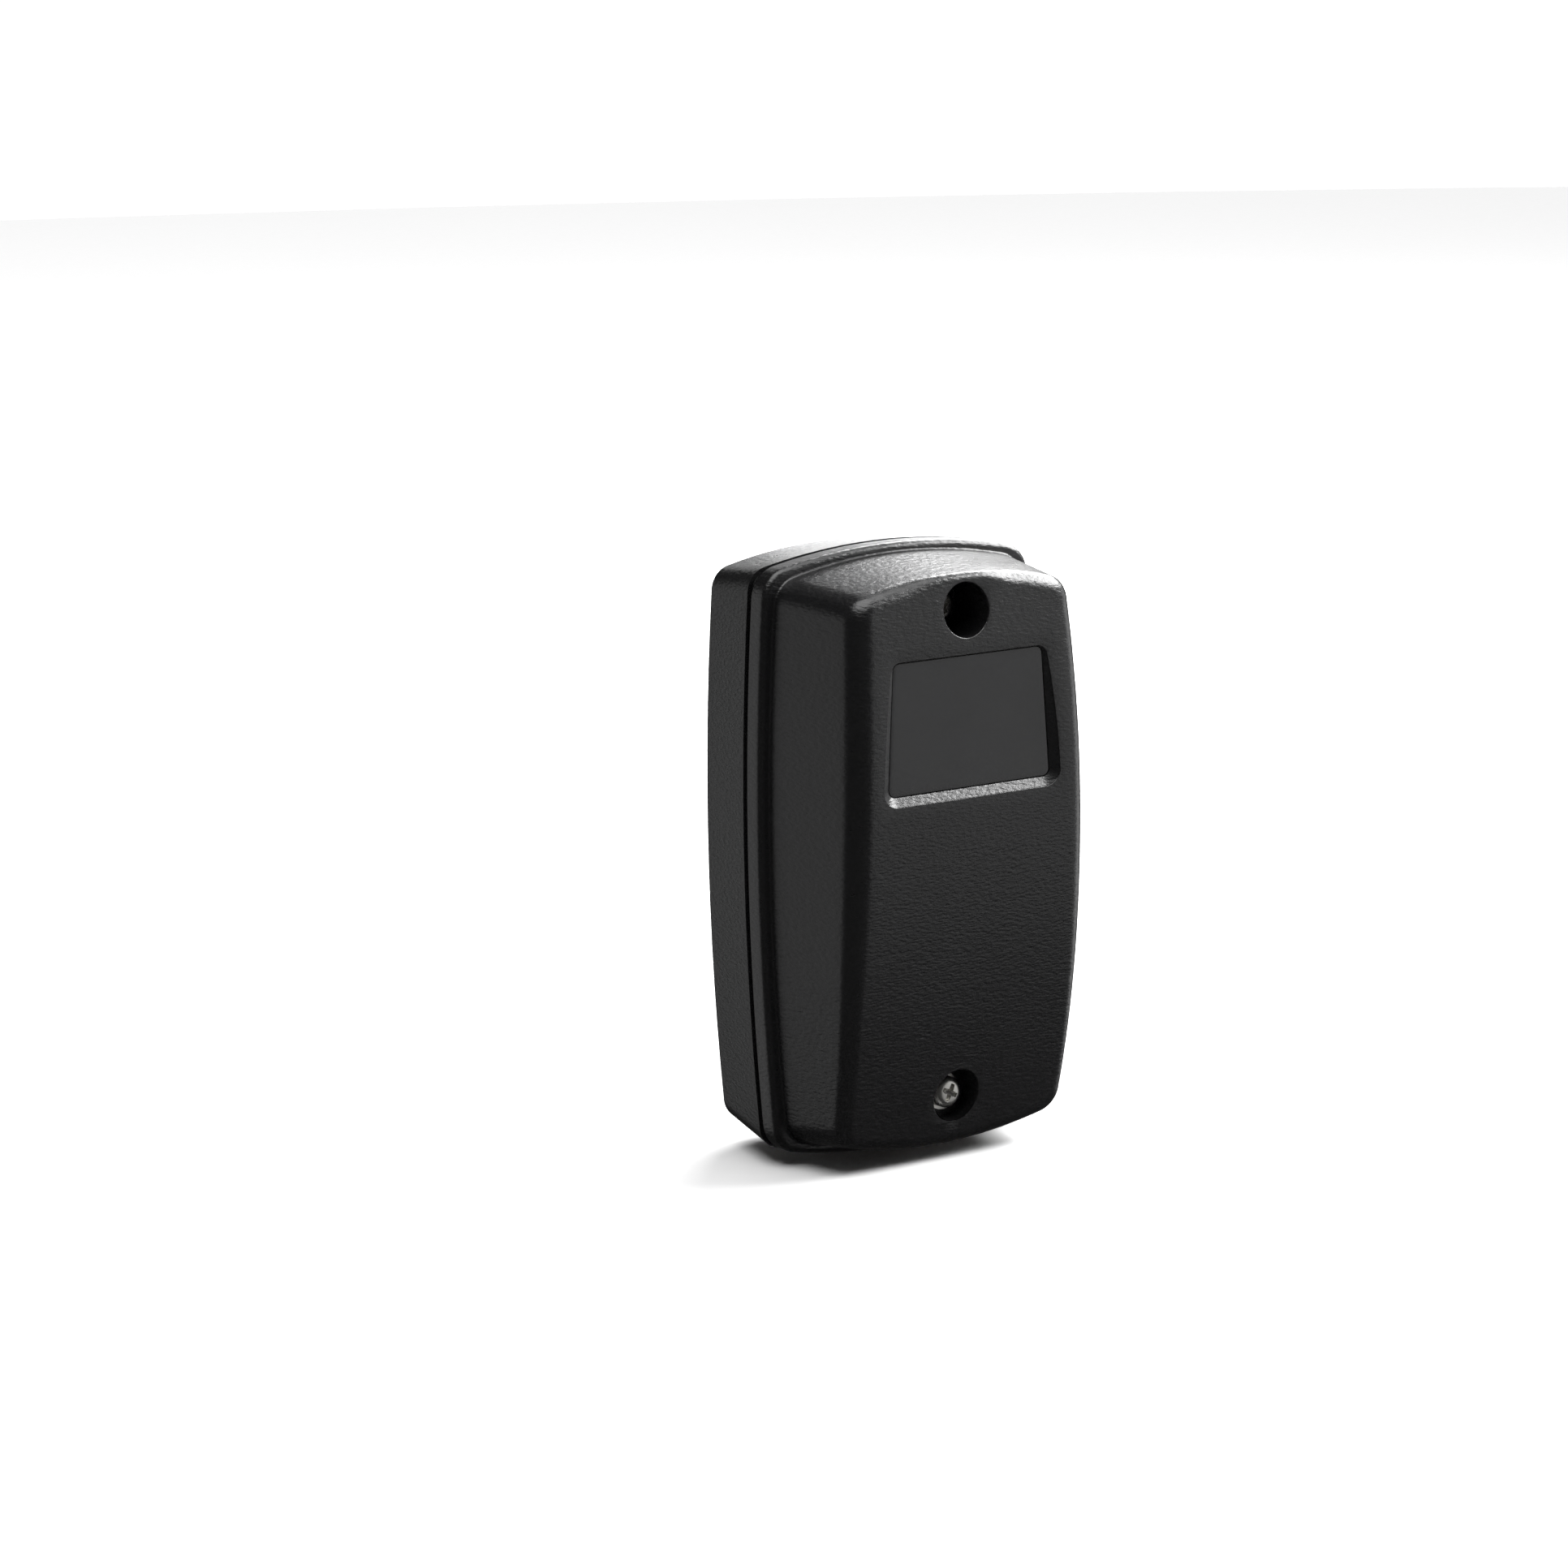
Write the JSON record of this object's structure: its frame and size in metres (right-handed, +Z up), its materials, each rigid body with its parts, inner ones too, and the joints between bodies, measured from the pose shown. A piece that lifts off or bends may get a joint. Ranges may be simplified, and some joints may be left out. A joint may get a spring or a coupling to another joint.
{
  "type": "gate photocell",
  "caption": "Wall-mounted black photocell receiver: tapered rear box, domed cover with dark trapezium window, two recessed screws, board and lens inside.",
  "frame": {"origin": "centre of the back face, on the wall, at mid-height of the joint's outline", "axes": "+X right as one faces the unit, +Y into the wall, +Z up"},
  "size_m": [0.0614, 0.0431, 0.11],
  "materials": {
    "case_plastic": "fine moulded grain, satin",
    "filter_plastic": "smooth, dark infrared-pass",
    "seal_rubber": "matte",
    "screw_steel": "bright zinc plated",
    "brass": "turned",
    "board_laminate": "green solder mask",
    "holder_plastic": "moulded black",
    "lens_acrylic": "polished",
    "photodiode_resin": "dark resin",
    "relay_case": "blue moulded case",
    "capacitor_sleeve": "shrunk sleeve",
    "resistor_lacquer": "tan lacquer",
    "led_red": "diffused red resin",
    "terminal_plastic": "moulded green",
    "plated_contact": "tin plated",
    "trimmer_plastic": "moulded blue",
    "white_plastic": "moulded white"
  },
  "bodies": {
    "housing": {"rear_box": "case_plastic", "cover_gasket": "seal_rubber", "cover_screw_inserts": "brass", "cable_grommet": "seal_rubber", "circuit_board": "board_laminate", "board_screws": "screw_steel", "lens_holder": "holder_plastic", "lens": "lens_acrylic", "lens_clip": "screw_steel", "photodiode": "photodiode_resin", "relay": "relay_case", "power_capacitor": "capacitor_sleeve", "control_chip": "holder_plastic", "voltage_regulator": "holder_plastic", "rectifier_diodes": "holder_plastic", "resistors": "resistor_lacquer", "status_led": "led_red", "terminal_block": "terminal_plastic", "terminal_contacts": "plated_contact", "range_trimmer": "trimmer_plastic", "mode_switch": "holder_plastic"},
    "cover": {"front_cover": "case_plastic", "window_filter": "filter_plastic", "window_seal": "seal_rubber"},
    "top_screw_washer": {"top_screw_washer": "screw_steel"},
    "top_screw": {"top_screw": "screw_steel"},
    "bottom_screw_washer": {"bottom_screw_washer": "screw_steel"},
    "bottom_screw": {"bottom_screw": "screw_steel"},
    "trimmer_rotor": {"trimmer_rotor": "white_plastic"},
    "mode_slider_1": {"mode_slider_1": "white_plastic"},
    "mode_slider_2": {"mode_slider_2": "white_plastic"},
    "terminal_screw_1": {"terminal_screw_1": "plated_contact"},
    "terminal_cage_1": {"terminal_cage_1": "plated_contact"},
    "terminal_screw_2": {"terminal_screw_2": "plated_contact"},
    "terminal_cage_2": {"terminal_cage_2": "plated_contact"},
    "terminal_screw_3": {"terminal_screw_3": "plated_contact"},
    "terminal_cage_3": {"terminal_cage_3": "plated_contact"},
    "terminal_screw_4": {"terminal_screw_4": "plated_contact"},
    "terminal_cage_4": {"terminal_cage_4": "plated_contact"},
    "terminal_screw_5": {"terminal_screw_5": "plated_contact"},
    "terminal_cage_5": {"terminal_cage_5": "plated_contact"}
  },
  "joints": [
    {"name": "cover_lift_off", "type": "slide", "parent": "housing", "child": "cover", "axis": [0, -1, 0], "range_m": [0, 0.05]},
    {"name": "top_screw_back_out", "type": "slide", "parent": "cover", "child": "top_screw_washer", "axis": [0, -1, 0], "range_m": [0, 0.006]},
    {"name": "top_screw_turn", "type": "hinge", "parent": "top_screw_washer", "child": "top_screw", "pos_m": [0, -0.0323, 0.04505], "axis": [0, -1, 0], "range_deg": [0, 4325]},
    {"name": "bottom_screw_back_out", "type": "slide", "parent": "cover", "child": "bottom_screw_washer", "axis": [0, -1, 0], "range_m": [0, 0.006]},
    {"name": "bottom_screw_turn", "type": "hinge", "parent": "bottom_screw_washer", "child": "bottom_screw", "pos_m": [0, -0.0323, -0.04265], "axis": [0, -1, 0], "range_deg": [0, 4325]},
    {"name": "range_adjust", "type": "hinge", "parent": "housing", "child": "trimmer_rotor", "pos_m": [0.0171, -0.0126, 0.00495], "axis": [0, 1, 0], "range_deg": [0, 270]},
    {"name": "mode_select_1", "type": "slide", "parent": "housing", "child": "mode_slider_1", "axis": [0, 0, 1], "range_m": [0, 0.0014]},
    {"name": "mode_select_2", "type": "slide", "parent": "housing", "child": "mode_slider_2", "axis": [0, 0, 1], "range_m": [0, 0.0014]},
    {"name": "clamp_turn_1", "type": "hinge", "parent": "housing", "child": "terminal_screw_1", "pos_m": [-0.01016, -0.023, -0.01547], "axis": [0, 1, 0], "range_deg": [0, 1731]},
    {"name": "clamp_rise_1", "type": "slide", "parent": "housing", "child": "terminal_cage_1", "axis": [0, -1, 0], "range_m": [0, 0.0024]},
    {"name": "clamp_turn_2", "type": "hinge", "parent": "housing", "child": "terminal_screw_2", "pos_m": [-0.00508, -0.023, -0.01547], "axis": [0, 1, 0], "range_deg": [0, 1731]},
    {"name": "clamp_rise_2", "type": "slide", "parent": "housing", "child": "terminal_cage_2", "axis": [0, -1, 0], "range_m": [0, 0.0024]},
    {"name": "clamp_turn_3", "type": "hinge", "parent": "housing", "child": "terminal_screw_3", "pos_m": [0, -0.023, -0.01547], "axis": [0, 1, 0], "range_deg": [0, 1731]},
    {"name": "clamp_rise_3", "type": "slide", "parent": "housing", "child": "terminal_cage_3", "axis": [0, -1, 0], "range_m": [0, 0.0024]},
    {"name": "clamp_turn_4", "type": "hinge", "parent": "housing", "child": "terminal_screw_4", "pos_m": [0.00508, -0.023, -0.01547], "axis": [0, 1, 0], "range_deg": [0, 1731]},
    {"name": "clamp_rise_4", "type": "slide", "parent": "housing", "child": "terminal_cage_4", "axis": [0, -1, 0], "range_m": [0, 0.0024]},
    {"name": "clamp_turn_5", "type": "hinge", "parent": "housing", "child": "terminal_screw_5", "pos_m": [0.01016, -0.023, -0.01547], "axis": [0, 1, 0], "range_deg": [0, 1731]},
    {"name": "clamp_rise_5", "type": "slide", "parent": "housing", "child": "terminal_cage_5", "axis": [0, -1, 0], "range_m": [0, 0.0024]}
  ],
  "couplings": [
    {"joint": "top_screw_turn", "follows": "top_screw_back_out", "rad_per_m": 12566},
    {"joint": "bottom_screw_turn", "follows": "bottom_screw_back_out", "rad_per_m": 12566},
    {"joint": "clamp_turn_1", "follows": "clamp_rise_1", "rad_per_m": 12566},
    {"joint": "clamp_turn_2", "follows": "clamp_rise_2", "rad_per_m": 12566},
    {"joint": "clamp_turn_3", "follows": "clamp_rise_3", "rad_per_m": 12566},
    {"joint": "clamp_turn_4", "follows": "clamp_rise_4", "rad_per_m": 12566},
    {"joint": "clamp_turn_5", "follows": "clamp_rise_5", "rad_per_m": 12566}
  ]
}
